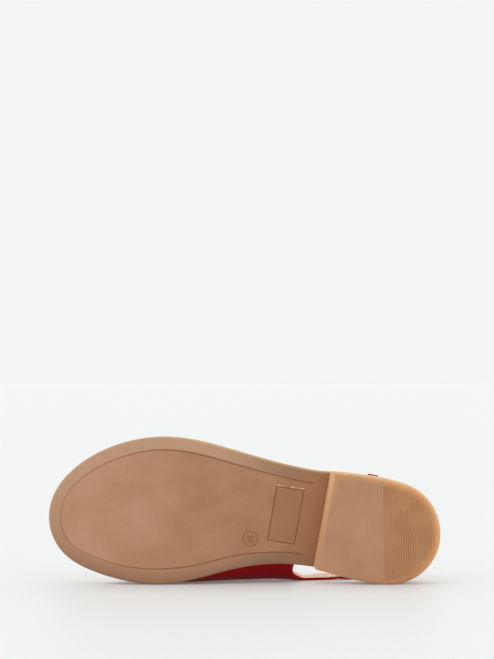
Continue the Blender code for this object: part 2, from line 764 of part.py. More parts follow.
# ---------------------------------------------------------------- assembly
for old in list(bpy.data.objects):
    bpy.data.objects.remove(old, do_unlink=True)
sandal = bpy.data.collections.new("slingback_sandal")
cutters = bpy.data.collections.new("cutters")
for group in (sandal, cutters):
    bpy.context.scene.collection.children.link(group)
lying = bpy.data.objects.new("shoe_frame", None)
bpy.context.scene.collection.objects.link(lying)

build_outsole()
build_heel()
build_insole()
build_upper()
build_buckle()
build_prong()
build_keeper()
lay_on_side()
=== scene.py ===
"""Looks of a women's slingback sandal, left foot, lying on its medial side.

Each piece is modelled in the shoe frame, in which the shoe stands on its tread: x from the
heel's back to the toe, y to the lateral side, z up. Sizes are in millimetres unless they say
otherwise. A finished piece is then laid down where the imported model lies.
"""

import json
from collections import namedtuple
from itertools import combinations
from math import atan2, cos, pi, radians, sin

import bmesh
import bpy
import numpy as np
from mathutils import Matrix, Vector
from mathutils.bvhtree import BVHTree


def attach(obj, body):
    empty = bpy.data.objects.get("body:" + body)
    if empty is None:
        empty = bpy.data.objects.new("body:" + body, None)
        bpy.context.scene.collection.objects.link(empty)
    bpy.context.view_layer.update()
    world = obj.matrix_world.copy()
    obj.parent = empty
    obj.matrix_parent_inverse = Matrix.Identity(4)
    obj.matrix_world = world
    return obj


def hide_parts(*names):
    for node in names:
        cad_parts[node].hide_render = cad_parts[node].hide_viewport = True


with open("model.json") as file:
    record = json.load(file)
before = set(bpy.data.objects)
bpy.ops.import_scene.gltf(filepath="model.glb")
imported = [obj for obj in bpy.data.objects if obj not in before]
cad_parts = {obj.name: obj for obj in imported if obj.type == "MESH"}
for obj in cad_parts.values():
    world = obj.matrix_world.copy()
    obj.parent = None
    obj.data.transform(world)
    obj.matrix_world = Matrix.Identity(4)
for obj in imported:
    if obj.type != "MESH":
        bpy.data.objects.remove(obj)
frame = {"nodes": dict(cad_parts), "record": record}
bpy.ops.object.select_all(action="DESELECT")
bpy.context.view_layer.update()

# ------------------------------------------------------------------ camera, light and floor
# The shoe is looked at square to its sole, from a little above it. The room is a white one:
# an even sky, one broad soft lamp overhead, and a pale satin floor.
MM = 0.001
CAMERA_PLACE = (0.0019, -1.536, 0.1335)   # metres
CAMERA_PITCH = 1.222                 # degrees up
LENS, SENSOR = 126.06, 36.0
SKY_STRENGTH = 1.0
LAMP_TILT, LAMP_SPREAD = -15, 60     # degrees
LAMP_POWER = 0.5
FLOOR_SIZE = 120.0                   # metres
FLOOR_GLOW = 0.12                    # light that comes up through the floor

lens = bpy.data.cameras.new("camera")
lens.lens, lens.sensor_width = LENS, SENSOR
camera = bpy.data.objects.new("camera", lens)
camera.location = CAMERA_PLACE
camera.rotation_euler = (radians(90 + CAMERA_PITCH), 0, 0)
bpy.context.scene.collection.objects.link(camera)
bpy.context.scene.camera = camera
bpy.context.scene.view_settings.view_transform = "Standard"


def linear(value):
    """A display colour value, 0 to 255, as the linear value that a shader takes."""
    value /= 255
    return value / 12.92 if value <= 0.04045 else ((value + 0.055) / 1.055) ** 2.4


def colour(red, green, blue):
    """Shader colour from display values, 0 to 255 a channel."""
    return (linear(red), linear(green), linear(blue), 1.0)


class Wire:
    """An output of a shader node. Arithmetic on it adds Math nodes to its material."""

    def __init__(self, finish, socket):
        self.finish, self.socket = finish, socket

    def maths(self, operation, *values):
        return self.finish.node("Math", {"operation": operation}, dict(enumerate(values)))

    def __add__(self, other):
        return self.maths("ADD", self, other)

    def __sub__(self, other):
        return self.maths("SUBTRACT", self, other)

    def __mul__(self, other):
        return self.maths("MULTIPLY", self, other)

    def __truediv__(self, other):
        return self.maths("DIVIDE", self, other)

    def __radd__(self, other):
        return self.maths("ADD", other, self)

    def __rsub__(self, other):
        return self.maths("SUBTRACT", other, self)

    def __rmul__(self, other):
        return self.maths("MULTIPLY", other, self)

    def __abs__(self):
        return self.maths("ABSOLUTE", self)

    def fraction(self):
        return self.maths("FRACT", self)

    def ramp(self, low, high):
        """0 below low and 1 above high, or the other way round, with a soft passage."""
        if low > high:
            return 1 - self.ramp(high, low)
        return self.finish.node("MapRange", {"interpolation_type": "SMOOTHSTEP"},
                                {"Value": self, "From Min": low, "From Max": high})


class Finish:
    """A material in the making, round one Principled shader."""

    def __init__(self, name, **constants):
        self.material = bpy.data.materials.new(name)
        self.material.use_nodes = True
        self.tree = self.material.node_tree
        self.shader = self.tree.nodes["Principled BSDF"]
        for key, value in constants.items():
            self.shader.inputs[key.replace("_", " ")].default_value = value

    def node(self, kind, settings=None, sockets=None, output=0):
        """Any node: its settings are set first, then values or wires go to its sockets."""
        made = self.tree.nodes.new("ShaderNode" + kind)
        for key, value in (settings or {}).items():
            setattr(made, key, value)
        for key, value in (sockets or {}).items():
            if isinstance(value, Wire):
                self.tree.links.new(value.socket, made.inputs[key])
            else:
                made.inputs[key].default_value = value
        return Wire(self, made.outputs[output])

    def place(self, scale=1.0):
        """Place on the piece in the shoe frame, in millimetres, times the scale."""
        sockets = {
            "Vector": self.node("TexCoord", output="Object"),
            "Location": shoe_frame.to_translation(),
            "Rotation": shoe_frame.to_euler(),
            "Scale": (MM / scale,) * 3,
        }
        return self.node("Mapping", {"vector_type": "TEXTURE"}, sockets)

    def axis(self, letter):
        """Place along one axis of the shoe frame, in millimetres."""
        return self.node("SeparateXYZ", None, {0: self.place()}, output=letter)

    def noise(self, size, detail=2.0, stretch=(1, 1, 1), roughness=0.5):
        """Noise from 0 to 1 whose blotches measure about size millimetres."""
        place = self.node("VectorMath", {"operation": "MULTIPLY"},
                          {0: self.place(1 / size), 1: stretch})
        sockets = {"Vector": place, "Scale": 1.0, "Detail": detail, "Roughness": roughness}
        return self.node("TexNoise", None, sockets)

    def blotches(self, size):
        """Soft blotches, 0 between them and 1 within."""
        return self.noise(size, 3).ramp(0.35, 0.65)

    def mix(self, share, first, second, blend="MIX"):
        """First colour where share is 0, second where it is 1."""
        settings = {"data_type": "RGBA", "blend_type": blend, "clamp_factor": True}
        return self.node("Mix", settings, {0: share, 6: first, 7: second}, output=2)

    def attribute(self, name):
        """A number that was stored on the piece's vertices."""
        return self.node("Attribute", {"attribute_name": name}, output="Fac")

    def wear(self, socket, wire):
        """Feeds a varying input of the shader."""
        self.tree.links.new(wire.socket, self.shader.inputs[socket])

    def bump(self, height, distance):
        """Relief from a height of 0 to 1, distance millimetres deep."""
        sockets = {"Height": height, "Distance": distance * MM, "Strength": 1.0}
        self.wear("Normal", self.node("Bump", None, sockets))


floor_finish = Finish("pale satin floor", Base_Color=colour(221, 222, 222), Roughness=0.45,
                      Specular_IOR_Level=0.2, Emission_Color=colour(250, 249, 250),
                      Emission_Strength=FLOOR_GLOW)
bpy.ops.mesh.primitive_plane_add(size=FLOOR_SIZE)
floor = bpy.context.object
floor.name = "floor"
floor.data.materials.append(floor_finish.material)

world = bpy.data.worlds.new("white room")
world.use_nodes = True
sky = world.node_tree.nodes["Background"]
sky.inputs["Color"].default_value = colour(243, 245, 244)
sky.inputs["Strength"].default_value = SKY_STRENGTH
bpy.context.scene.world = world

bpy.ops.object.light_add(type="SUN", rotation=(radians(LAMP_TILT), 0, 0))
overhead = bpy.context.object
overhead.name = "overhead lamp"
overhead.data.energy = LAMP_POWER
overhead.data.angle = radians(LAMP_SPREAD)

# ------------------------------------------------------------------ where the shoe lies
# The two flat spots of the tread carry the shoe frame: their places are known both on the
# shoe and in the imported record.
HEEL_SPOT = (40.0, -3.3)
FOREFOOT_SPOT = (176.3, 7.7)

mounts = {mount["name"]: mount for mount in frame["record"]["mounts"]}
heel_spot = Vector(mounts["heel_tread"]["pos_m"])
up = -Vector(mounts["heel_tread"]["axis"])
forward = (Vector(mounts["forefoot_tread"]["pos_m"]) - heel_spot).normalized()
sideways = up.cross(forward)
swing = atan2(FOREFOOT_SPOT[1] - HEEL_SPOT[1], FOREFOOT_SPOT[0] - HEEL_SPOT[0])
along = forward * cos(swing) - sideways * sin(swing)
lateral = forward * sin(swing) + sideways * cos(swing)
origin = heel_spot - along * HEEL_SPOT[0] * MM - lateral * HEEL_SPOT[1] * MM
shoe_frame = Matrix.Translation(origin) @ Matrix((along, lateral, up)).transposed().to_4x4()
to_shoe = shoe_frame.inverted()

# ------------------------------------------------------------------ outsole
# One sheet of natural rubber, moulded with a rounded tread edge. A stitch groove runs round
# the forefoot; a bare rectangle and the size in a ring are moulded in at the waist.
TREAD_ROUND = 1.6
TOP_ROUND = 0.8
ROUND_STEPS = 6
TREAD_INSETS = (2.4, 3.6, 5.2, 7.0, 9.0, 11.0, 13.0)
SPINE_SHARES = (0.25, 0.5, 0.75, 1.0)
PER_SPAN = 4                         # steps of a smooth line from each known place to the next
MEETING = 0.01                       # places closer than this are one

GROOVE_RADIUS = 0.53
Groove = namedtuple("Groove", "along lateral medial")
GROOVE = (                           # how far in from the sole's edge it runs
    Groove(80, 8.9, 7.2),
    Groove(91, 8.8, 7.2),
    Groove(103, 8.7, 7.6),
    Groove(115, 8.8, 7.9),
    Groove(133, 9.0, 8.4),
    Groove(156, 8.9, 8.6),
    Groove(175, 8.7, 9.9),
    Groove(188, 8.6, 10.0),
    Groove(213, 8.9, 8.8),
    Groove(231, 8.4, 9.1),
    Groove(240, 8.2, 8.6),
    Groove(248, 7.8, 7.7),
)
GROOVE_ENDS = {"lateral": 80.5, "medial": 89.6}
LABEL = ((106.1, 24.9), (88.3, 22.3), (94.6, -12.9), (112.1, -10.1))
LABEL_RADIUS = 0.58
LABEL_STEPS = 12
RING_PLACE = (123.5, -9.2)
RING_RADIUS = 4.8
RING_WIRE = 0.48
RING_STEPS = 40
SIZE_MARK = "38"
SIZE_HEIGHT = 5.2
SIZE_DEPTH = 0.26
SIZE_TURN = 80                       # degrees
MARK_LIFT = 0.2                      # of a line's round tool off the tread
MARK_DEPTH = 0.25                    # depth at which a mark's painted shade is full
RING_SHADE = 0.7                      # the ring gets less painted shade
UNSHADED_RIM = 1.8                      # no painted shade shows this near the edge
CLOSE_BY = 1.0


def smooth_line(points, per_span, closed=False):
    """Catmull-Rom line through the points, per_span steps from each to the next."""
    points = np.asarray(points, float)
    if closed:
        padded = np.vstack((points[-1:], points, points[:2]))
    else:
        before, after = 2 * points[:1] - points[1:2], 2 * points[-1:] - points[-2:-1]
        padded = np.vstack((before, points, after))
    t = np.linspace(0, 1, per_span, endpoint=False)[:, None]
    spans = []
    for a, b, c, d in zip(padded, padded[1:], padded[2:], padded[3:]):
        bend = (2 * a - 5 * b + 4 * c - d) * t ** 2 + (3 * b - a - 3 * c + d) * t ** 3
        spans.append(b + ((c - a) * t + bend) / 2)
    line = np.vstack(spans)
    return line if closed else np.vstack((line, points[-1:]))


def cad_points(node):
    """The separate corners of a CAD node, in the shoe frame."""
    corners = {tuple(vert.co) for vert in frame["nodes"][node].data.vertices}
    return np.array([to_shoe @ Vector(corner) for corner in sorted(corners)]) / MM


def round_the_edge(points):
    """Rows sorted from the heel's back along the medial side, and back along the lateral."""
    back, front = points[points[:, 0].argmin()], points[points[:, 0].argmax()]
    line = back[1] + (points[:, 0] - back[0]) * (front[1] - back[1]) / (front[0] - back[0])
    between = (points[:, 0] > back[0]) & (points[:, 0] < front[0])
    medial_rows = points[between & (points[:, 1] < line)]
    lateral_rows = points[between & (points[:, 1] > line)]
    return np.vstack((back, medial_rows[medial_rows[:, 0].argsort()],
                      front, lateral_rows[lateral_rows[:, 0].argsort()[::-1]]))


def side_wall(node):
    """A sole piece's upright wall as rows of x, y, its foot and its head, all the way round."""
    walls = [(*a[:2], min(a[2], b[2]), max(a[2], b[2]))
             for a, b in combinations(cad_points(node), 2)
             if np.abs(a[:2] - b[:2]).max() < MEETING]
    return smooth_line(round_the_edge(np.array(walls)), PER_SPAN, closed=True)


def wall_heights(wall):
    """The height of the wall's foot and of its head, each as a function of x."""
    x, _, foot, head = wall[:len(wall) // 2 + 1].T
    return (lambda at: np.interp(at, x, foot)), (lambda at: np.interp(at, x, head))


def inset_ring(ring, distance):
    """Plan places of a ring moved inwards, square to its edges, by one or more distances."""
    edges = np.roll(ring, -1, axis=0)[:, :2] - ring[:, :2]
    edges /= np.linalg.norm(edges, axis=1)[:, None]
    after = np.column_stack((-edges[:, 1], edges[:, 0]))
    mitre = after + np.roll(after, 1, axis=0)
    mitre /= (mitre * after).sum(axis=1)[:, None]
    return ring[:, :2] + np.reshape(distance, (-1, 1)) * mitre


def on_height(plan, height):
    """Plan places at the height of each place's x."""
    return np.column_stack((plan, [height(x) for x in plan[:, 0]]))


def ring_at(ring, inset, height):
    """Closed row of places: the ring moved inwards, at the height of each place's x."""
    row = on_height(inset_ring(ring, inset), height)
    return np.vstack((row, row[:1]))


def quarter_round(radius, steps=ROUND_STEPS):
    """For each row round an edge, from wall to face: how far in, and how far short of it."""
    return [(radius * (1 - cos(turn)), radius * (1 - sin(turn)))
            for turn in np.linspace(0, pi / 2, steps)]


def rows_to_spine(row, height, shares=SPINE_SHARES, ends=None):
    """Rows from a closed row in to its middle line, where its two sides meet."""
    middle = (row[:, :2] + row[::-1, :2]) / 2
    if ends:
        spine = middle[np.logical_and(*((middle[:, :1] - ends) * (1, -1)).T > 0)]
        spine = spine[spine[:, 0].argsort()]
        middle[:, 0] = np.clip(middle[:, 0], *ends)
        middle[:, 1] = np.interp(middle[:, 0], *spine.T)
    return [on_height(row[:, :2] + (middle - row[:, :2]) * share, height) for share in shares]


def select_only(*pieces):
    """Selects the pieces and nothing else, with the first one active."""
    bpy.ops.object.select_all(action="DESELECT")
    for piece in pieces:
        piece.select_set(True)
    bpy.context.view_layer.objects.active = pieces[0]


def places(piece):
    """The places of the piece's vertices, while it stands in the shoe frame."""
    flat = np.zeros(3 * len(piece.data.vertices))
    piece.data.vertices.foreach_get("co", flat)
    return flat.reshape(-1, 3) / MM


def move_to(piece, points):
    """Puts the piece's vertices on the places."""
    piece.data.vertices.foreach_set("co", (np.asarray(points) * MM).ravel())
    piece.data.update()


def panel(name, rows):
    """A closed skin over rows of places: a grid primitive, with its meeting edges merged."""
    bpy.ops.mesh.primitive_grid_add(x_subdivisions=len(rows[0]) - 1,
                                    y_subdivisions=len(rows) - 1, size=1)
    piece = bpy.context.object
    piece.name = piece.data.name = name
    move_to(piece, np.concatenate(rows))
    bpy.ops.object.mode_set(mode="EDIT")
    bpy.ops.mesh.select_all(action="SELECT")
    bpy.ops.mesh.remove_doubles(threshold=MEETING * MM)
    bpy.ops.mesh.dissolve_degenerate(threshold=MEETING / 10 * MM)
    bpy.ops.mesh.select_all(action="SELECT")
    bpy.ops.mesh.normals_make_consistent(inside=False)
    bpy.ops.object.mode_set(mode="OBJECT")
    return piece


def tube(name, points, radius, cyclic=False, resolution=2):
    """A round rod along the points, as a closed mesh."""
    curve = bpy.data.curves.new(name, "CURVE")
    curve.dimensions = "3D"
    curve.bevel_depth = radius * MM
    curve.bevel_resolution = resolution
    curve.use_fill_caps = not cyclic
    spline = curve.splines.new("POLY")
    spline.points.add(len(points) - 1)
    for slot, point in zip(spline.points, points):
        slot.co = (*(Vector(point) * MM), 1)
    spline.use_cyclic_u = cyclic
    rod = bpy.data.objects.new(name, curve)
    bpy.context.scene.collection.objects.link(rod)
    select_only(rod)
    bpy.ops.object.convert(target="MESH")
    return bpy.context.object


def merged(pieces, name):
    """The pieces joined into one object with its doubles merged."""
    select_only(*pieces)
    if len(pieces) > 1:
        bpy.ops.object.join()
    piece = bpy.context.object
    piece.name = piece.data.name = name
    bpy.ops.object.mode_set(mode="EDIT")
    bpy.ops.mesh.select_all(action="SELECT")
    bpy.ops.mesh.remove_doubles(threshold=MEETING / 5 * MM)
    bpy.ops.mesh.normals_make_consistent(inside=False)
    bpy.ops.object.mode_set(mode="OBJECT")
    return piece


def apply_modifier(piece, kind, **settings):
    """Adds a modifier and applies it."""
    select_only(piece)
    modifier = piece.modifiers.new(kind.lower(), kind)
    for key, value in settings.items():
        setattr(modifier, key, value)
    bpy.ops.object.modifier_apply(modifier=modifier.name)


def cut(piece, cutter, solver="EXACT"):
    """Takes the cutter's room out of the piece, and removes the cutter."""
    apply_modifier(piece, "BOOLEAN", operation="DIFFERENCE", object=cutter, solver=solver)
    bpy.data.objects.remove(cutter)


def store(piece, name, values):
    """A number for each vertex, which the material reads."""
    layer = piece.data.attributes.new(name, "FLOAT", "POINT")
    layer.data.foreach_set("value", np.asarray(values, np.float32))


def edge_distance(points, ring):
    """Each point's distance in plan from a ring's line."""
    line = smooth_line(ring[:, :2], PER_SPAN, closed=True)
    return np.array([np.hypot(*(line - point[:2]).T).min() for point in points])


def finish_piece(piece, node, finish, angle=35):
    """Lays the piece down in its material, in place of a CAD node if there is one."""
    select_only(piece)
    bpy.ops.object.shade_smooth_by_angle(angle=radians(angle))
    piece.data.transform(shoe_frame)
    piece.data.materials.clear()
    piece.data.materials.append(finish.material)
    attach(piece, "root")
    if node:
        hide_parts(node)
    piece.select_set(False)


outsole_wall = side_wall("outsole")
sole_foot, sole_head = wall_heights(outsole_wall)


def underside(x):
    return sole_foot(x) - TREAD_ROUND


def sole_top(x):
    return sole_head(x) + TOP_ROUND


top_edge = [ring_at(outsole_wall, inset, lambda x: sole_top(x) - drop)
            for inset, drop in quarter_round(TOP_ROUND)][::-1]
tread_edge = [ring_at(outsole_wall, inset, lambda x: underside(x) + rise)
              for inset, rise in quarter_round(TREAD_ROUND)]
tread = [ring_at(outsole_wall, inset, underside) for inset in TREAD_INSETS]
outsole = panel("outsole_rubber", rows_to_spine(top_edge[0], sole_top)[::-1] + top_edge
                + tread_edge + tread + rows_to_spine(tread[-1], underside))


def groove_line():
    """Places of the stitch groove, from its lateral end round the toe to its medial end."""
    knots = [row.along for row in GROOVE]
    line = []
    for k in range(len(outsole_wall) - 1, 0, -1):
        side = "medial" if k < len(outsole_wall) // 2 else "lateral"
        x = outsole_wall[k, 0]
        if x >= GROOVE_ENDS[side]:
            inset = np.interp(x, knots, [getattr(row, side) for row in GROOVE])
            line.append(inset_ring(outsole_wall, inset)[k])
    return line


def on_tread(plan):
    """Plan places just off the outsole's underside."""
    return on_height(np.array(plan), lambda x: underside(x) - MARK_LIFT)


label_sides = []
for start, end in zip(LABEL, LABEL[1:] + LABEL[:1]):
    steps = np.linspace(0, 1, LABEL_STEPS, endpoint=False)[:, None]
    label_sides.extend(np.array(start) + steps * (np.array(end) - start))
ring_line = [(RING_PLACE[0] + RING_RADIUS * cos(a), RING_PLACE[1] + RING_RADIUS * sin(a))
             for a in np.linspace(0, 2 * pi, RING_STEPS, endpoint=False)]
marks = [
    tube("stitch groove", on_tread(groove_line()), GROOVE_RADIUS),
    tube("label outline", on_tread(label_sides), LABEL_RADIUS, cyclic=True, resolution=1),
    tube("size ring", on_tread(ring_line), RING_WIRE, cyclic=True, resolution=1),
]
bpy.ops.object.text_add(rotation=(0, pi, radians(SIZE_TURN)))
size_mark = bpy.context.object
size_mark.data.body = SIZE_MARK
size_mark.data.size = SIZE_HEIGHT * MM
size_mark.data.align_x, size_mark.data.align_y = "CENTER", "CENTER"
size_mark.data.extrude = SIZE_DEPTH * MM
size_mark.location = Vector((*RING_PLACE, underside(RING_PLACE[0]))) * MM
bpy.ops.object.convert(target="MESH")
bpy.ops.object.transform_apply(location=True, rotation=True, scale=True)
mark_places = places(size_mark)
mark_places[:, 2] += underside(mark_places[:, 0]) - underside(RING_PLACE[0])
move_to(size_mark, mark_places)
marks.append(size_mark)
cut(outsole, merged(marks, "tread marks"))

sole_places = places(outsole)
from_side = edge_distance(sole_places, outsole_wall)
tread_depth = sole_places[:, 2] - underside(sole_places[:, 0])
store(outsole, "rim", from_side - np.maximum(tread_depth - TREAD_ROUND, 0))
flat_of_tread = from_side > UNSHADED_RIM
on_sole_top = sole_top(sole_places[:, 0]) - sole_places[:, 2] < CLOSE_BY
near_ring = np.hypot(*(sole_places[:, :2] - RING_PLACE).T) < RING_RADIUS + CLOSE_BY
# Painted shade in the moulded marks, by their depth.
mark_shade = np.clip(tread_depth / MARK_DEPTH, 0, 1) * np.where(near_ring, RING_SHADE, 1)
store(outsole, "mark_shade", np.where(flat_of_tread & ~on_sole_top, mark_shade, 0))

TOE_TAN = colour(199, 147, 115), colour(190, 136, 99)   # plain, and in its blotches
WAIST_TAN = colour(181, 129, 93), colour(172, 119, 80)
TOE_TO_WAIST = (215, 125)            # along the sole, where one gives way to the other
SCUFFED = colour(203, 150, 118)
LABEL_TAN = colour(166, 112, 72)
MARGIN_TAN_LIT_ABOVE = colour(181, 132, 97), colour(199, 154, 121)   # medial, and lateral, painted lighter for the light from above
# the same at the waist, its lateral side painted lighter for the light from above
WAIST_MARGIN_LIT_ABOVE = colour(150, 110, 80), colour(160, 119, 87)
MARGIN_LINE = (8.8, 7.6)             # in from the edge, where the margin begins
MARGIN_TO_WAIST = (150, 90)
MEDIAL_PAINTED_SHADE = colour(125, 88, 66)   # painted shade: the margin darkens towards its medial edge, down by the floor
# Painted shade: the tread darkens into the corner by the heel's breast.
SEAT_PAINTED_SHADE = colour(169, 115, 78)
INTO_SEAT_SHADE = (112, 80)
EDGE_PAINTED_GLOW = colour(214, 184, 128)    # painted glow: light that comes through the lateral edge
MARK_SHADE_BROWN = colour(152, 90, 45)
LESS_SHADE_TO_TOE = (160, 245)               # towards the toe the marks get less painted shade
LABEL_HIGHLIGHT = {0: 0.75, 2: 0.15}      # how strong the painted highlight is along the label's lateral and medial sides
HIGHLIGHT_PALE = colour(232, 204, 180)
GRAIN_BROWN = colour(130, 88, 62)
GRAIN_DEPTH = 0.03

rubber = Finish("natural rubber", Roughness=0.5, IOR=1.5)
across, ahead, rim = rubber.axis("Y"), rubber.axis("X"), rubber.attribute("rim")
blotches = rubber.blotches(30)
toe_tone, waist_tone = rubber.mix(blotches, *TOE_TAN), rubber.mix(blotches, *WAIST_TAN)
tone = rubber.mix(ahead.ramp(*TOE_TO_WAIST), toe_tone, waist_tone)
scuffs = rubber.noise(9, 3, stretch=(0.4, 1, 1)).ramp(0.45, 0.75)
tone = rubber.mix(scuffs * 0.22, tone, SCUFFED)


def label_side(number):
    """Distance inside one side of the label, and how far along the side, from 0 to 1."""
    start, end = np.array(LABEL[number]), np.array(LABEL[(number + 1) % len(LABEL)])
    length = np.linalg.norm(end - start)
    step = (end - start) / length
    inside = (across - start[1]) * step[0] - (ahead - start[0]) * step[1]
    return inside, ((ahead - start[0]) * step[0] + (across - start[1]) * step[1]) / length


within = 1
for number in range(len(LABEL)):
    within = label_side(number)[0].ramp(-0.3, 0.3) * within
tone = rubber.mix(within * 0.45, tone, LABEL_TAN)
# Painted light: the margin is lighter towards the lateral side, which faces up.
toe_margin = rubber.mix(across.ramp(-30, 40), *MARGIN_TAN_LIT_ABOVE)
waist_margin = rubber.mix(across.ramp(-25, 25), *WAIST_MARGIN_LIT_ABOVE)
margin = rubber.mix(ahead.ramp(*MARGIN_TO_WAIST), toe_margin, waist_margin)
tone = rubber.mix(rim.ramp(*MARGIN_LINE), tone, margin)
# Painted shade on the medial margin, near the floor.
medial_edge_shade = rim.ramp(9.0, 0.5) * across.ramp(0, -30)
tone = rubber.mix(medial_edge_shade * 0.4, tone, MEDIAL_PAINTED_SHADE)
# Painted shade towards the heel's breast.
tone = rubber.mix(ahead.ramp(*INTO_SEAT_SHADE) * 0.75, tone, SEAT_PAINTED_SHADE)
edge_painted_glow = rim.ramp(2.0, 0.2) * rim.ramp(-3.0, -0.5) * across.ramp(-10, 25)
edge_painted_glow = edge_painted_glow * (0.25 + ahead.ramp(190, 150) * 0.75)
tone = rubber.mix(edge_painted_glow * 0.7, tone, EDGE_PAINTED_GLOW)
# Painted shade in the moulded marks, less of it towards the toe.
mark_shade_share = rubber.attribute("mark_shade") * (0.9 - 0.65 * ahead.ramp(*LESS_SHADE_TO_TOE))
tone = rubber.mix(mark_shade_share, tone, MARK_SHADE_BROWN)
# Painted highlight along the label's lateral and medial sides, broken up by noise.
for number, share in LABEL_HIGHLIGHT.items():
    inside, run = label_side(number)
    label_highlight = inside.ramp(-1.5, -1.0) * inside.ramp(-0.2, -0.6) * run.ramp(-0.02, 0.02)
    label_highlight = label_highlight * run.ramp(1.02, 0.98) * rubber.noise(2.5, 3).ramp(0.35, 0.6)
    tone = rubber.mix(label_highlight * share, tone, HIGHLIGHT_PALE)


def rubber_skin(finish, tone, grain_size):
    """Feeds the tone to moulded rubber, with a fine grain and a dull, uneven shine."""
    grain = finish.noise(grain_size, 4)
    finish.wear("Base Color", finish.mix(grain.ramp(0.3, 0.7) * 0.1, tone, GRAIN_BROWN))
    finish.wear("Roughness", 0.42 + finish.noise(5, 3) * 0.22)
    finish.bump(grain + finish.noise(4.5, 2) * 0.8, GRAIN_DEPTH)


rubber_skin(rubber, tone, 1.1)
finish_piece(outsole, "outsole", rubber)

# ------------------------------------------------------------------ heel
# A solid block of amber rubber under the seat, flared a little to its foot. Its breast edge
# is well rounded, and the back half of its tread is ribbed across.
HEEL_FOOT = 1.2                      # height of the foot's rounding
LEVEL = 0.05                         # corners this near one height are on one level
HEEL_SEAT_ROUND = 0.5
SEAT_STEPS = 4
SEAT_OVER = 5.0                      # the seat's corners lie higher than this
HEEL_WALL_ROWS = 6
BREAST_STEPS = 16
BREAST_ROUND = (1.3, 3.0)            # of the breast's edge, medial and lateral
CORNER_ROOM = 3                      # steps left out for it at the breast's corners
FADE_STEPS = 9                       # over which it gives way to the foot's, along the sides
HEEL_SHARES = (0.04, 0.09, 0.15, 0.24, 0.38, 0.6, 1.0)
HEEL_SPINE = (26.0, 50.0)            # ends of the middle line of its tread and its seat
RIB_PITCH = 1.5
RIBS = 22
RIB_RADIUS = 0.4
RIB_DEPTH = 0.3
RIB_CLEAR = 3.0                      # of the heel's edge
RIB_SIDES = (-40.0, 32.0)            # no rib reaches past these
RIB_FRONT = 36.2                     # foremost rib, at the middle
RIB_LEAN = 0.027                     # forward, for each millimetre to the lateral side
PARTING = ((30.2, -0.8), (24.0, -0.5), (17.0, -0.8), (10.0, -0.6), (4.0, -0.7))
PARTING_RADIUS = 0.2


def heel_line(points):
    """Closed line of one level of the heel: smooth round the back, straight at the breast."""
    ring = round_the_edge(points)
    corner = len(ring) // 2
    chain = smooth_line(np.vstack((ring[corner + 1:], ring[:corner + 1])), PER_SPAN)
    chain = np.vstack((chain[:1], chain[CORNER_ROOM:-CORNER_ROOM], chain[-1:]))
    steps = np.linspace(0, 1, BREAST_STEPS + 1)[1:-1, None]
    breast = chain[-1] + steps * (chain[0] - chain[-1])
    half = len(chain) // 2
    return np.vstack((chain[half:], breast, chain[:half]))


heel_corners = cad_points("heel")
heel_foot = heel_line(heel_corners[np.abs(heel_corners[:, 2] - HEEL_FOOT) < LEVEL])
heel_seat = heel_line(heel_corners[heel_corners[:, 2] > SEAT_OVER])
corner = (len(heel_foot) - BREAST_STEPS) // 2
breast_round = np.full(len(heel_foot), HEEL_FOOT)
breast_round[corner:corner + BREAST_STEPS + 1] = np.linspace(*BREAST_ROUND, BREAST_STEPS + 1)
for step in range(1, FADE_STEPS):
    fade = (1 - step / FADE_STEPS) ** 2
    breast_round[corner - step] += (BREAST_ROUND[0] - HEEL_FOOT) * fade
    breast_round[corner + BREAST_STEPS + step] += (BREAST_ROUND[1] - HEEL_FOOT) * fade


def heel_row(ring, inset, heights):
    """Closed row of places: the ring moved inwards, at the heights."""
    row = np.column_stack((inset_ring(ring, inset), np.broadcast_to(heights, len(ring))))
    return np.vstack((row, row[:1]))


seat_slope = np.polyfit(heel_seat[:, 0], heel_seat[:, 2], 3)
seat_edge = [heel_row(heel_seat, inset, heel_seat[:, 2] - drop)
             for inset, drop in quarter_round(HEEL_SEAT_ROUND, SEAT_STEPS)][::-1]
foot_edge = [heel_row(heel_foot, inset, rise) for inset, rise in quarter_round(breast_round)]
heel_wall = [seat_edge[-1] + (foot_edge[0] - seat_edge[-1]) * share
             for share in np.linspace(0, 1, HEEL_WALL_ROWS + 1)[1:-1]]
seat = rows_to_spine(seat_edge[0], lambda x: np.polyval(seat_slope, x), ends=HEEL_SPINE)
heel_tread = rows_to_spine(foot_edge[-1], lambda x: 0, HEEL_SHARES, HEEL_SPINE)
heel = panel("heel_block", seat[::-1] + seat_edge + heel_wall + foot_edge + heel_tread)

rulings = []
half_steps = np.linspace(-45, 45, 181)   # half a millimetre each, across the heel
for k in range(RIBS):
    line = np.column_stack((RIB_FRONT - k * RIB_PITCH + RIB_LEAN * half_steps, half_steps))
    on_heel = (half_steps > RIB_SIDES[0]) & (half_steps < RIB_SIDES[1])
    on_heel &= edge_distance(line, heel_foot) > RIB_CLEAR
    rulings.append(tube("rib", [(*place, RIB_DEPTH - RIB_RADIUS) for place in line[on_heel][::8]],
                        RIB_RADIUS, resolution=1))
rulings.append(tube("parting line", [(*place, 0) for place in PARTING], PARTING_RADIUS))
for ruling in rulings:
    cut(heel, merged([ruling], "heel marks"))

heel_places = places(heel)
store(heel, "rim", edge_distance(heel_places, heel_foot)
      - np.maximum(heel_places[:, 2] - HEEL_FOOT, 0))

SMOOTH_AMBER = colour(198, 144, 109), colour(189, 135, 101)
LATERAL_AMBER = colour(180, 134, 98)
RIBBED_AMBER = colour(198, 143, 99), colour(189, 133, 88)
RIBBED_FROM = (37.0, 36.4)           # along the heel, level with the foremost rib
GLOW_AMBER = colour(238, 168, 104)   # painted glow: light that comes through its edges, most of all at the back
# painted highlight on the tread's rim
RIM_PAINTED_HIGHLIGHT = colour(244, 203, 160)
BREAST_EDGE_LIGHT = colour(206, 146, 102)
BREAST_WALL_LIGHT = colour(252, 200, 152)
RIB_PAINTED_SHADE = colour(150, 98, 58)

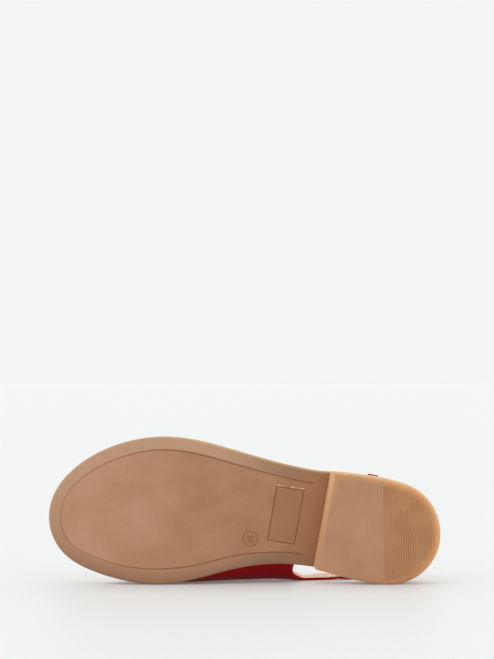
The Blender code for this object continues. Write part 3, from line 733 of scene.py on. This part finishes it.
amber = Finish("amber rubber", Roughness=0.48, IOR=1.5)
across, ahead, rim = amber.axis("Y"), amber.axis("X"), amber.attribute("rim")
smooth_tone = amber.mix(amber.blotches(22), *SMOOTH_AMBER)
smooth_tone = amber.mix(across.ramp(-8, 22) * 0.5, smooth_tone, LATERAL_AMBER)
rib_tone = amber.mix(amber.blotches(16), *RIBBED_AMBER)
over_ribs = ahead - across * RIB_LEAN
tone = amber.mix(over_ribs.ramp(*RIBBED_FROM) * rim.ramp(-1.5, 0.0), smooth_tone, rib_tone)
painted_glow = ahead.ramp(60, 10) * across.ramp(-40, -22) * 0.75 + across.ramp(5, 30) * 0.5
painted_glow = rim.ramp(7.0, 0.5) * painted_glow
tone = amber.mix(painted_glow * rim.ramp(-6.0, -1.0), tone, GLOW_AMBER)
# Painted highlight along the tread's rim, strongest on the lateral side, which faces up.
rim_highlight = rim.ramp(2.6, 0.8) * rim.ramp(-5.0, -1.0) * across.ramp(-30, 20) * 0.75
tone = amber.mix(rim_highlight, tone, RIM_PAINTED_HIGHLIGHT)
# Painted light: the breast's rounded edge is warmer and lighter, for the light that shows through
# it.
breast_edge_light = rim.ramp(4.0, 1.0) * ahead.ramp(60, 66) * (1 - across.ramp(20, 30) * 0.6)
tone = amber.mix(breast_edge_light * 0.5, tone, BREAST_EDGE_LIGHT)
# Painted light on the breast's wall, which faces the toe and lies in shade.
breast_wall_light = rim.ramp(0.6, -0.4) * ahead.ramp(48, 68)
tone = amber.mix(breast_wall_light * 0.9, tone, BREAST_WALL_LIGHT)
# Painted shade in the ribs' grooves.
from_rib = abs(((over_ribs - RIB_FRONT) / RIB_PITCH).fraction() - 0.5)
rib_shade = from_rib.ramp(0.3, 0.42) * rim.ramp(2.4, 3.4) * over_ribs.ramp(37.4, 36.8)
tone = amber.mix(rib_shade * 0.24, tone, RIB_PAINTED_SHADE)
rubber_skin(amber, tone, 1.0)
finish_piece(heel, "heel", amber)

# ------------------------------------------------------------------ insole
# Soft nude leather over a thin foam bed, turned under at its edge and stitched round, with a
# shallow dish at the heel, under the ball and under the toes.
BED_FOOT_ROUND = 0.6
BED_CROWN = 1.0                      # of the bed over the CAD wall's head
INSOLE_ROUND = 1.2
BED_SHOULDER = 0.4                   # straight wall below the rounding
BED_SKIN = 1.5                       # how deep below the crown the dishes move it
INSOLE_INSETS = (2.2, 3.2, 4.6, 7.0, 10.0, 13.0)
SEAM_INSET = 3.4
SEAM_WIDTH = 0.7
SEAM_SINK = 0.25
Dish = namedtuple("Dish", "along across length width depth")
DISHES = (
    Dish(42, -3, 34, 24, 0.9),
    Dish(176, 9, 36, 32, 0.6),
    Dish(232, 4, 18, 22, 0.35),
)
NUDE = colour(250, 227, 208), colour(242, 213, 190)
NUDE_THREAD = colour(206, 166, 138), colour(240, 212, 188)
PORE_SIZE = 0.9
PORE_DEPTH = 0.035
STITCH_LENGTH = 2.5
STITCH_PITCH = 3.3
STITCH_RADIUS = 0.28
STITCH_AIM = 0.5                     # ahead on its line, where a stitch points
TWIST_DEPTH = 0.05

insole_wall = side_wall("insole")
bed_underside, bed_head = wall_heights(insole_wall)


def bed_top(x):
    return bed_head(x) + BED_CROWN


bed_foot = ring_at(insole_wall, BED_FOOT_ROUND, bed_underside)
bed_wall = [ring_at(insole_wall, 0, lambda x: bed_underside(x) + BED_FOOT_ROUND),
            ring_at(insole_wall, 0, lambda x: bed_top(x) - INSOLE_ROUND - BED_SHOULDER)]
bed_edge = [ring_at(insole_wall, inset, lambda x: bed_top(x) - drop)
            for inset, drop in quarter_round(INSOLE_ROUND)]
bed = [ring_at(insole_wall, inset, bed_top) for inset in INSOLE_INSETS]
insole = panel("footbed", rows_to_spine(bed_foot, bed_underside)[::-1] + [bed_foot] + bed_wall
               + bed_edge + bed + rows_to_spine(bed[-1], bed_top))
apply_modifier(insole, "SUBSURF", levels=1, render_levels=1)


def bed_sink(points):
    """How far the footbed's surface sinks at plan places: its dishes and its seam."""
    sink = np.zeros(len(points))
    for dish in DISHES:
        reach = ((points[:, 0] - dish.along) / dish.length) ** 2
        reach += ((points[:, 1] - dish.across) / dish.width) ** 2
        sink += dish.depth * np.exp(-reach)
    seam = (edge_distance(points, insole_wall) - SEAM_INSET) / SEAM_WIDTH
    return sink + SEAM_SINK * np.exp(-seam ** 2)


bed_places = places(insole)
upper_side = bed_places[:, 2] > bed_top(bed_places[:, 0]) - BED_SKIN
bed_places[:, 2] -= np.where(upper_side, bed_sink(bed_places), 0)
move_to(insole, bed_places)


def leather(name, tones, rim_tone=None, roughness=0.45, shine=0.35):
    """Full-grain leather: soft blotches, fine pores, and a rim's tone where it was folded."""
    made = Finish(name, Roughness=roughness, IOR=1.45, Specular_IOR_Level=shine)
    sockets = {"Vector": made.place(1 / PORE_SIZE), "Scale": 1.0}
    pore = made.node("TexVoronoi", {"feature": "F1"}, sockets)
    wrinkle = made.noise(2.2, 5, roughness=0.6)
    tone = made.mix(made.blotches(26), *tones)
    tone = made.mix(pore.ramp(0.55, 0.95) * 0.18, tone, tones[1], "MULTIPLY")
    if rim_tone:
        tone = made.mix(made.attribute("rim").ramp(1.1, 0.2) * 0.8, tone, rim_tone)
    made.wear("Base Color", tone)
    made.wear("Roughness", roughness - 0.08 + wrinkle * 0.18)
    made.bump(wrinkle * 1.2 - pore.ramp(0.3, 0.9), PORE_DEPTH)
    return made


def thread(name, tones, roughness):
    """Twisted thread in two tones."""
    made = Finish(name, Roughness=roughness)
    twist = made.noise(0.5, 2)
    made.wear("Base Color", made.mix(twist, *tones))
    made.bump(twist, TWIST_DEPTH)
    return made


def stitches(name, lines, surface, finish):
    """Thread along lines of places on a surface: one stitch is modelled, and copied."""
    bpy.ops.mesh.primitive_uv_sphere_add(segments=8, ring_count=6, radius=1)
    stitch = bpy.context.object
    stitch.scale = (STITCH_LENGTH / 2 * MM, STITCH_RADIUS * MM, STITCH_RADIUS * MM)
    bpy.ops.object.transform_apply(scale=True)
    body = bmesh.new()
    for line in lines:
        line = np.array(line)
        run = np.append(0, np.cumsum(np.linalg.norm(np.diff(line, axis=0), axis=1)))
        for at in np.arange(STITCH_PITCH / 2, run[-1], STITCH_PITCH):
            here, ahead_of = (Vector([np.interp(way, run, axis) for axis in line.T]) * MM
                              for way in (at, min(at + STITCH_AIM, run[-1])))
            found, normal, _, _ = surface.find_nearest(here)
            tangent = ahead_of - here
            tangent = (tangent - normal * tangent.dot(normal)).normalized()
            turn = Matrix((tangent, normal.cross(tangent), normal)).transposed().to_4x4()
            copy = stitch.data.copy()
            copy.transform(Matrix.Translation(found) @ turn)
            body.from_mesh(copy)
            bpy.data.meshes.remove(copy)
    bpy.data.objects.remove(stitch)
    piece = bpy.data.objects.new(name, bpy.data.meshes.new(name))
    body.to_mesh(piece.data)
    body.free()
    bpy.context.scene.collection.objects.link(piece)
    finish_piece(piece, None, finish, angle=60)


def surface_of(piece):
    """The piece's faces, to find places on, while it stands in the shoe frame."""
    body = bmesh.new()
    body.from_mesh(piece.data)
    tree = BVHTree.FromBMesh(body)
    body.free()
    return tree


nude = leather("nude lining leather", NUDE, roughness=0.55)
nude_thread = thread("nude thread", NUDE_THREAD, roughness=0.6)
bed_surface = surface_of(insole)
finish_piece(insole, "insole", nude)
seam_row = ring_at(insole_wall, SEAM_INSET, bed_top)
seam_row[:, 2] -= bed_sink(seam_row)
stitches("footbed_stitching", [seam_row], bed_surface, nude_thread)

# ------------------------------------------------------------------ upper
# Red leather over a nude lining: the vamp, the sling strap round the heel and the tab that
# carries the buckle are one piece. Its edges are turned in and stitched.
WALL = 2.0
LEATHER_SHARE = 0.6                  # of the wall's thickness
LINING_SHARE = 0.36
FOLD_SHARE = 0.92                    # of the leather where its edge is turned in
FOLD_WIDTH = (0.6, 1.8)              # from the edge, where the fold is whole, and where it ends
LINING_BACK = 0.5                    # the lining stops short of the folded edge,
LARGEST_STEP = 0.6                   # by no more than this share of its outermost faces
SHARP = 50                           # degrees, at the wall's edges
FLAT = 60                            # two triangles that differ less become one quad
EDGE_SEAM = 2.3                      # stitching, in from the edge
EDGE_ROUND = 0.28
EDGE_STRAY = 0.5                     # no corner of the rounding lies further from the edge
FULL_ALONG = (40, 55, 105, 137, 170)
FULLNESS = (0.0, 0.9, 1.2, 0.9, 0.3)   # how much the medial side swells
FULL_ACROSS = (-24.0, 10.0)          # where it swells wholly, and not at all
Edge = namedtuple("Edge", "along height")
STRAP_EDGE = (Edge(50, 39.6), Edge(56, 38.3), Edge(63, 36.4), Edge(73, 34.4), Edge(87, 35.3))
CURL = 1.8                           # of the strap's lower edge, up off the floor
CURL_AT, CURL_LENGTH, CURL_DEPTH = 64.5, 7.0, 7.0
FLOOR_ROOM = 0.1                     # under the leather
LINING_ROOM = 1.7                    # under the lining
HOLE_RADIUS = 1.15
PUNCH_LENGTH = 5.0
SPARE_HOLES = ((36.0, 28.3, 52.1), (47.5, 30.3, 49.0), (19.4, 19.0, 56.7), (14.8, 13.9, 58.0))
Crease = namedtuple("Crease", "width depth line")
CREASES = (                          # troughs, and ridges where the depth is negative
    Crease(5.0, 0.8,
           ((150, -36, 30), (152, -28, 50), (152, -8, 60), (150, 12, 60), (147, 34, 50))),
    Crease(5.5, -0.65,
           ((162, -37, 24), (163, -26, 46), (163, -4, 54), (162, 18, 53), (158, 44, 40))),
    Crease(6.0, 0.75,
           ((176, -37, 22), (177, -24, 42), (177, 0, 48), (176, 24, 45), (174, 48, 32))),
    Crease(4.5, 0.55, ((118, -30, 58), (124, -22, 66), (132, -10, 70))),
    Crease(4.5, 0.55, ((118, 34, 60), (125, 26, 67), (133, 14, 71))),
    Crease(4.0, 0.55, ((92, -37, 36), (100, -36, 42), (110, -34, 50))),
    Crease(4.0, 0.55, ((92, 37, 38), (101, 38, 44), (112, 38, 52))),
    Crease(5.0, -0.45, ((198, -30, 26), (202, -20, 34), (203, -6, 38))),
)
FOOT_FROM = 84                       # ahead of this the upper's foot is fixed under the bed,
FOOT_SEAM_ROOM = 7                   # and no seam is sewn this near the outsole
SHORTEST_SEAM = 12
FEWEST_PLACES = 5
RED = colour(152, 1, 14), colour(137, 1, 10)
RED_FOLD = colour(172, 10, 28)
RED_THREAD = colour(160, 8, 22), colour(200, 30, 46)


def from_cad(node, name):
    """A working copy of a CAD node in the shoe frame: merged, in quads, in edit mode."""
    piece = bpy.data.objects.new(name, frame["nodes"][node].data.copy())
    piece.data.name = name
    piece.data.transform(to_shoe)
    bpy.context.scene.collection.objects.link(piece)
    select_only(piece)
    bpy.ops.mesh.customdata_custom_splitnormals_clear()
    bpy.ops.object.mode_set(mode="EDIT")
    bpy.ops.mesh.select_mode(type="EDGE")
    bpy.ops.mesh.select_all(action="SELECT")
    bpy.ops.mesh.remove_doubles(threshold=MEETING * MM)
    bpy.ops.mesh.tris_convert_to_quads(face_threshold=radians(FLAT),
                                       shape_threshold=radians(FLAT))
    return piece


def wall_faces():
    """Outer and inner face of the upper's wall, parted at its edges."""
    from_cad("upper", "upper_wall")
    bpy.ops.mesh.select_all(action="DESELECT")
    bpy.ops.mesh.edges_select_sharp(sharpness=radians(SHARP))
    bpy.ops.mesh.edge_split(type="EDGE")
    bpy.ops.mesh.select_all(action="SELECT")
    bpy.ops.mesh.separate(type="LOOSE")
    bpy.ops.object.mode_set(mode="OBJECT")
    parts = sorted(bpy.context.selected_objects,
                   key=lambda part: -sum(face.area for face in part.data.polygons))
    for edge in parts[2:]:
        bpy.data.objects.remove(edge)
    return parts[:2]


def edge_seams(skin):
    """Lines of places a little in from the skin's edges, where it is stitched."""
    select_only(skin)
    bpy.ops.object.duplicate()
    guide = bpy.context.object
    bpy.ops.object.mode_set(mode="EDIT")
    bpy.ops.mesh.select_all(action="SELECT")
    bpy.ops.mesh.inset(thickness=EDGE_SEAM * MM, use_boundary=True, use_even_offset=True)
    bpy.ops.mesh.region_to_loop()
    bpy.ops.object.mode_set(mode="OBJECT")
    body = bmesh.new()
    body.from_mesh(guide.data)
    links = {}
    for edge in body.edges:
        if edge.select and not edge.is_boundary:
            a, b = edge.verts
            links.setdefault(a, []).append(b)
            links.setdefault(b, []).append(a)
    lines = []
    while links:
        vert = next(iter(links))
        line = [vert]
        while links.get(vert):
            after = links[vert].pop()
            links[after].remove(vert)
            line.append(after)
            vert = after
        for used in line:
            if used in links and not links[used]:
                del links[used]
        lines.append([tuple(place.co / MM) for place in line])
    body.free()
    bpy.data.objects.remove(guide)
    return lines


def edge_of(skin):
    """Places on the skin's edge, and for each vertex a short step in from the edge."""
    body = bmesh.new()
    body.from_mesh(skin.data)
    border = np.array([vert.co for vert in body.verts if vert.is_boundary]) / MM
    steps = np.zeros((len(body.verts), 3))
    for vert in body.verts:
        within = [edge.other_vert(vert).co for edge in vert.link_edges if not edge.is_boundary]
        if vert.is_boundary and within:
            step = (sum(within, Vector()) / len(within) - vert.co) / MM
            steps[vert.index] = step * min(LINING_BACK / max(step.length, LINING_BACK),
                                            LARGEST_STEP)
    body.free()
    return border, steps


def swell(points, normals):
    """The points moved out along their normals where the medial side is full."""
    full = np.interp(points[:, 0], FULL_ALONG, FULLNESS)
    full *= np.interp(points[:, 1], FULL_ACROSS, (1, 0))
    return points + normals * full[:, None]


def crease(points, normals):
    """The points moved along their normals by the creases."""
    for fold in CREASES:
        line = smooth_line(fold.line, 2 * PER_SPAN)
        ends = np.linspace(-1, 1, len(line))
        for k, point in enumerate(points):
            reach = np.linalg.norm(line - point, axis=1)
            nearest = reach.argmin()
            if reach[nearest] < 3 * fold.width:
                depth = fold.depth * np.exp(-(reach[nearest] / fold.width) ** 2)
                points[k] = point - normals[k] * depth * (1 - ends[nearest] ** 4)
    return points


def curl_strap(points):
    """The points with the medial strap's lower edge curled up."""
    from_edge = points[:, 2] - np.interp(points[:, 0], *zip(*STRAP_EDGE))
    curl = CURL * np.exp(-((points[:, 0] - CURL_AT) / CURL_LENGTH) ** 2)
    curl *= np.interp(from_edge, (0, CURL_DEPTH), (1, 0)) * (points[:, 1] < FULL_ACROSS[0])
    points[:, 1] += curl
    return points


def off_floor(points, room):
    """The points, with those that are lower than the room over the floor lifted to it."""
    upwards = np.array(shoe_frame)[2, :3]
    height = points @ upwards + shoe_frame.translation.z / MM
    return points + np.outer(np.maximum(room - height, 0), upwards)


def wall_layer(skin, other, name, share, outward):
    """Makes a skin its share of the wall: refined, shaped, and thickened towards the other.

    Gives back the skin's own surface, as it is before it gets its thickness.
    """
    skin.name = skin.data.name = name
    opposite = surface_of(other)
    apply_modifier(skin, "SUBSURF", levels=2, render_levels=2,
                   boundary_smooth="PRESERVE_CORNERS")
    points = places(skin)
    normals = np.array([vert.normal for vert in skin.data.vertices]) * (1 if outward else -1)
    border, steps_in = edge_of(skin)
    rim = [np.linalg.norm(border - point, axis=1).min() for point in points]
    walls = [opposite.find_nearest(Vector(point) * MM)[3] / MM / WALL for point in points]
    points = curl_strap(crease(swell(points, normals), normals))
    points = off_floor(points, FLOOR_ROOM if outward else LINING_ROOM)
    move_to(skin, points if outward else points + steps_in)
    store(skin, "rim", rim)
    thickest = FOLD_SHARE if outward else share
    shares = np.interp(rim, FOLD_WIDTH, (thickest, share)) / thickest
    group = skin.vertex_groups.new(name="wall")
    for k, wall in enumerate(walls):
        group.add([k], min(wall, 1.0) * shares[k], "REPLACE")
    surface = surface_of(skin)
    apply_modifier(skin, "SOLIDIFY", thickness=thickest * WALL * MM, offset=-1,
                   vertex_group="wall")
    return surface


def punch(piece):
    """Spare holes through the strap, square to it."""
    punches = []
    for hole in SPARE_HOLES:
        place = Vector(hole) * MM
        normal = outer_surface.find_nearest(place)[1]
        bpy.ops.mesh.primitive_cylinder_add(vertices=24, radius=HOLE_RADIUS * MM,
                                            depth=PUNCH_LENGTH * MM)
        turn = Vector((0, 0, 1)).rotation_difference(normal).to_matrix().to_4x4()
        bpy.context.object.data.transform(Matrix.Translation(place) @ turn)
        punches.append(bpy.context.object)
    cut(piece, merged(punches, "punches"), solver="MANIFOLD")


outer, inner = wall_faces()
seams = edge_seams(outer)
outer_guide = bpy.data.objects.new("outer guide", outer.data.copy())
outer_surface = wall_layer(outer, inner, "upper_leather", LEATHER_SHARE, outward=True)
square_edged = surface_of(outer)
apply_modifier(outer, "BEVEL", width=EDGE_ROUND * MM, segments=2, limit_method="ANGLE",
               angle_limit=radians(SHARP), use_clamp_overlap=False)
for vert in outer.data.vertices:
    nearest, _, _, stray = square_edged.find_nearest(vert.co)
    if stray > EDGE_STRAY * MM:
        vert.co = nearest
punch(outer)
red = leather("red leather", RED, RED_FOLD, shine=0.12)
finish_piece(outer, "upper", red, angle=45)

wall_layer(inner, outer_guide, "upper_lining", LINING_SHARE, outward=False)
bpy.data.objects.remove(outer_guide)
punch(inner)
finish_piece(inner, None, nude, angle=45)

shown_seams = []
for line in seams:
    shown = [[]]
    for place in line:
        if place[0] > FOOT_FROM and place[2] < sole_top(place[0]) + FOOT_SEAM_ROOM:
            shown.append([])
        else:
            shown[-1].append(place)
    shown_seams += [smooth_line(part, PER_SPAN) for part in shown
                    if len(part) >= FEWEST_PLACES
                    and np.ptp(part, axis=0).max() > SHORTEST_SEAM]
red_thread = thread("red thread", RED_THREAD, roughness=0.55)
stitches("upper_stitching", shown_seams, outer_surface, red_thread)

# ------------------------------------------------------------------ buckle
# A brass wire frame and its prong. The strap runs under the near bar, the prong stands up
# through its hole and lies on the far bar.
WIRE_RADII = {"buckle_frame": 1.0, "buckle_prong": 0.7}
ROUNDING_LOSS = 0.1                  # what refining takes off a wire, as a share of its radius
BRASS = colour(206, 166, 104), colour(160, 118, 66)   # bright, and dulled

brass = Finish("antique brass", Metallic=1.0, Roughness=0.3)
patina = brass.noise(4, 4)
brass.wear("Base Color", brass.mix(patina.ramp(0.4, 0.7), *BRASS))
brass.wear("Roughness", 0.22 + patina * 0.25)
brass.bump(brass.noise(0.8, 3), 0.012)
for node, radius in WIRE_RADII.items():
    wire = from_cad(node, node + "_brass")
    bpy.ops.object.mode_set(mode="OBJECT")
    apply_modifier(wire, "SUBSURF", levels=2, render_levels=2)
    bpy.ops.object.mode_set(mode="EDIT")
    bpy.ops.mesh.select_all(action="SELECT")
    bpy.ops.transform.shrink_fatten(value=ROUNDING_LOSS * radius * MM)
    bpy.ops.object.mode_set(mode="OBJECT")
    finish_piece(wire, node, brass, angle=60)

# ------------------------------------------------------------------ keeper
# A loop of the same leather, painted a shade brighter for the light that falls on it, round the
# strap's end and the tab under it. It is closed on itself, and its edges are rounded.
STRAP_RUN = (0.952, 0.168, -0.258)   # the way the strap runs there
KEEPER_LENGTHENING = 0.45
KEEPER_FORWARD = 1.0
KEEPER_ROUND = 0.3
KEEPER_LIT_RED = colour(168, 5, 20), colour(154, 4, 15)

keeper = from_cad("keeper_loop", "keeper_leather")
bpy.ops.object.mode_set(mode="OBJECT")
keeper_places = places(keeper)
run = (keeper_places - keeper_places.mean(axis=0)) @ STRAP_RUN * KEEPER_LENGTHENING
move_to(keeper, keeper_places + np.outer(run + KEEPER_FORWARD, STRAP_RUN))
bpy.ops.object.mode_set(mode="EDIT")
bpy.ops.mesh.select_all(action="DESELECT")
bpy.ops.mesh.edges_select_sharp(sharpness=radians(SHARP))
bpy.ops.mesh.bevel(offset=KEEPER_ROUND * MM, segments=2, affect="EDGES")
bpy.ops.object.mode_set(mode="OBJECT")
apply_modifier(keeper, "SUBSURF", levels=2, render_levels=2)
# Painted light: the keeper's red is lighter than the strap's.
keeper_lit_red = leather("red keeper leather, painted lighter", KEEPER_LIT_RED, shine=0.25)
finish_piece(keeper, "keeper_loop", keeper_lit_red, angle=45)
